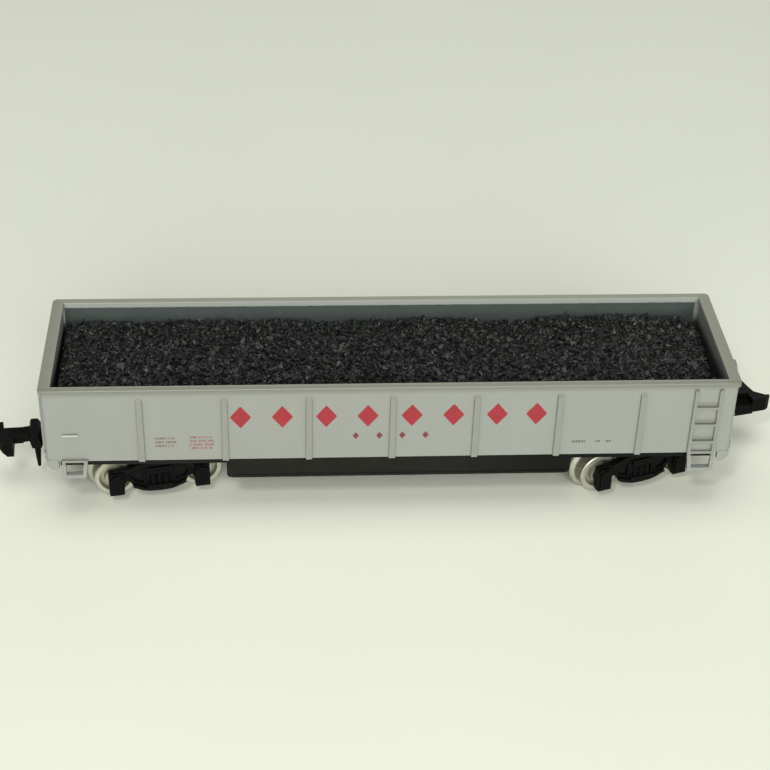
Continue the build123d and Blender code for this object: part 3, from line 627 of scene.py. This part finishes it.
def coal_chips(count):
    lib = chip_library(48)
    verts, faces, tones = [], [], []
    base = 0
    x0, x1, y0, y1 = CX0, CX1, CY0 - 0.1, CY1 + 0.1
    # stratified positions so that no bare patch is left
    nx = int(math.sqrt(count * (x1 - x0) / (y1 - y0)))
    ny = count // nx
    pos = []
    for i in range(nx):
        for j in range(ny):
            pos.append((x0 + (i + rng.uniform(-0.2, 1.2)) * (x1 - x0) / nx, y0 + (j + rng.uniform(-0.2, 1.2)) * (y1 - y0) / ny))
    pos = np.array(pos)
    rng.shuffle(pos)
    pos[:, 0] = np.clip(pos[:, 0], x0 + 0.05, x1 - 0.05)
    pos[:, 1] = np.clip(pos[:, 1], y0 + 0.05, y1 - 0.05)
    inside = edge_distance(pos[:, 0], pos[:, 1])
    keep = (inside > 0.12) | ((inside > -0.2) & (rng.uniform(size=len(pos)) < 0.2))
    pos = pos[keep]
    level = heap(pos[:, 0], pos[:, 1])
    for (x, y), z in zip(pos, level):
        u = rng.uniform()
        size = 0.50 + 0.62 * u ** 2.0 + (0.5 * rng.uniform() if rng.uniform() < 0.10 else 0.0)
        long = rng.uniform() < (0.30 if x > 14 else 0.12)
        stretch = np.array([rng.uniform(1.5, 2.1) if long else rng.uniform(1.0, 1.4), 1.0, rng.uniform(0.75, 1.0)])
        if long:
            size *= 0.8
        v, f = lib[int(rng.integers(len(lib)))]
        # mostly lying, some standing on edge
        tilt = rng.normal(0, 0.55) if rng.uniform() < 0.75 else rng.uniform(-1.5, 1.5)
        yaw, roll = rng.uniform(0, 2 * math.pi), rng.normal(0, 0.6)
        m = np.array((Matrix.Rotation(yaw, 3, "Z") @ Matrix.Rotation(tilt, 3, "X") @ Matrix.Rotation(roll, 3, "Y")))
        w = (v * stretch * size) @ m.T
        lift = rng.uniform(-0.30, 0.14) + (0.22 * rng.uniform() if rng.uniform() < 0.12 else 0.0)
        w += np.array([x, y, z + lift * (0.5 + size * 0.5)])
        w[:, 0] = np.clip(w[:, 0], x0, x1)
        w[:, 1] = np.clip(w[:, 1], y0, y1)
        verts.append(w)
        faces.append(f + base)
        # chips within 1.6 mm of the -X end wall are painted darker as painted shade; the tone rises towards +X; rare
        # chips get tone 0.98 for the painted glints
        t = rng.beta(1.2, 2.8) * (0.45 + 0.55 * float(sstep(x, -39.2, -37.6)))
        t = t + 0.16 * float(sstep(x, 2.0, 34.0))
        tones.append(np.full(len(v), 0.98 if rng.uniform() < 0.012 else min(t, 0.92)))
        base += len(v)
    return np.vstack(verts) * MM, np.vstack(faces), np.concatenate(tones)


insert = coal_insert()
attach(insert, "load")
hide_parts("coal_load")
cv, cf, ct = coal_chips(11000)
chips = mesh_object("coal_chips", cv, cf, MAT["coal"], tone=ct)
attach(chips, "load")
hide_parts("coal_load")


# ---------------------------------------------------------------------------
# Printed marks: plain geometric shapes, no lettering
# ---------------------------------------------------------------------------
WALL_Y = 10.01


def slab(outline, y_face, proud=0.016):
    """Closed thin prism of an X-Z outline on the near wall (-Y)."""
    n = len(outline)
    v = [(x, -y_face - proud, z) for x, z in outline] + [(x, -y_face + 0.02, z) for x, z in outline]
    f = [tuple(range(n)), tuple(range(2 * n - 1, n - 1, -1))]
    for k in range(n):
        a, b = k, (k + 1) % n
        f.append((b, a, a + n, b + n))
    return v, f


def turn_half(v):
    return [(-x, -y, z) for x, y, z in v]


def rounded(pts, r, seg=4):
    """Outline with its corners rounded."""
    out = []
    n = len(pts)
    for i in range(n):
        p0, p1, p2 = Vector(pts[i - 1]), Vector(pts[i]), Vector(pts[(i + 1) % n])
        a, b = (p0 - p1), (p2 - p1)
        t = min(r, a.length * 0.45, b.length * 0.45)
        q0, q1 = p1 + a.normalized() * t, p1 + b.normalized() * t
        for k in range(seg + 1):
            s = k / seg
            out.append(tuple((1 - s) ** 2 * q0 + 2 * s * (1 - s) * p1 + s * s * q1))
    return out


def join_slabs(name, outlines, mat):
    verts, faces = [], []
    for outline in outlines:
        v, f = slab(outline, WALL_Y)
        for vv in (v, turn_half(v)):
            b = len(verts)
            verts += [tuple(c * MM for c in q) for q in vv]
            faces += [tuple(i + b for i in g) for g in f]
    ob = mesh_object(name, verts, faces, mat)
    bm = bmesh.new()
    bm.from_mesh(ob.data)
    bmesh.ops.recalc_face_normals(bm, faces=bm.faces)
    bm.to_mesh(ob.data)
    bm.free()
    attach(ob, "car_body")
    return ob


def diamond(x, z, w, h, r=0.12):
    return rounded([(x - w / 2, z), (x, z - h / 2), (x + w / 2, z), (x, z + h / 2)], r)


def bar(x0, x1, z0, z1, r=0.03):
    return rounded([(x0, z0), (x1, z0), (x1, z1), (x0, z1)], r, 2)


big = [diamond(x, 14.29, 2.5, 3.15, 0.16) for x in (-17.63, -12.75, -7.61, -2.75, 2.42, 7.32, 12.46, 17.1)]
join_slabs("red_diamonds", big, MAT["red"])
small = [diamond(x, 11.43, 0.78, 1.0, 0.05) for x in (-4.15, -1.35, 1.35, 4.1)]
join_slabs("small_diamonds", small, MAT["dark_red"])
# two blocks of fine broken lines
dash = random.Random(7)
for name, x0, x1, rows, mat in (("fine_bars_left", -27.75, -25.2, (11.4, 10.85, 10.3), "fine_brown"),
                                ("fine_bars_right", -23.75, -20.85, (11.5, 10.98, 10.46, 9.94), "fine_red")):
    fine = []
    for z in rows:
        x = x0 + dash.uniform(0, 0.2)
        while x < x1 - 0.15:
            w = dash.choice((0.14, 0.2, 0.2, 0.34, 0.5))
            fine.append(bar(x, min(x + w, x1), z - 0.15, z + 0.15, 0.03))
            x += w + dash.choice((0.07, 0.1, 0.22))
    join_slabs(name, fine, MAT[mat])
tiny = []
for x0, x1 in ((21.6, 23.4), (24.5, 25.1), (25.75, 26.4)):
    x = x0
    while x < x1 - 0.1:
        w = dash.choice((0.14, 0.2, 0.26))
        tiny.append(bar(x, min(x + w, x1), 9.97, 10.27, 0.03))
        x += w + 0.09
join_slabs("tiny_bars", tiny, MAT["grey"])


# ---------------------------------------------------------------------------
# Floor, lights, world
# ---------------------------------------------------------------------------
def floor_material():
    g = Mat("pale_floor")
    n = g.noise(0.02, 2)
    c = g.mix(n, (0.712, 0.732, 0.612), (0.748, 0.766, 0.655))
    g.set(color=c, rough=0.75, spec=0.25, normal=g.bump(g.noise(3.0, 4), 0.12, 0.05))
    return g.m


fl = mesh_object("floor", [(-4, -4, 0), (4, -4, 0), (4, 4, 0), (-4, 4, 0)], [(0, 1, 2, 3)], floor_material())


def area(name, at, look, size, power, col=(1, 1, 1)):
    li = bpy.data.lights.new(name, "AREA")
    li.shape = "DISK"
    li.size = size
    li.energy = power
    li.color = col
    ob = bpy.data.objects.new(name, li)
    ob.location = at
    ob.rotation_euler = (Vector(look) - Vector(at)).to_track_quat("-Z", "Y").to_euler()
    scene.collection.objects.link(ob)
    return ob


# a small key above and left of the lens, a broad soft front light, one from above, a faint one behind, weak dome
area("key", (-0.088, -0.258, 0.316), (0, -0.004, 0.004), 0.068, 0.470, (1.0, 0.98, 0.915))
area("front", (0.05, -0.76, 0.33), (0, 0, 0.0), 0.66, 7.5, (0.985, 1.0, 0.985))
area("top", (-0.06, -0.04, 0.80), (0, 0, 0.0), 0.60, 2.6, (0.99, 1.0, 0.97))
area("back", (0.16, 0.80, 0.34), (0, 0, 0.0), 0.70, 1.3, (0.98, 1.0, 1.0))

w = bpy.data.worlds.new("world")
w.use_nodes = True
scene.world = w
bg = w.node_tree.nodes["Background"]
bg.inputs[0].default_value = (0.93, 0.98, 1.0, 1)
bg.inputs[1].default_value = 0.115
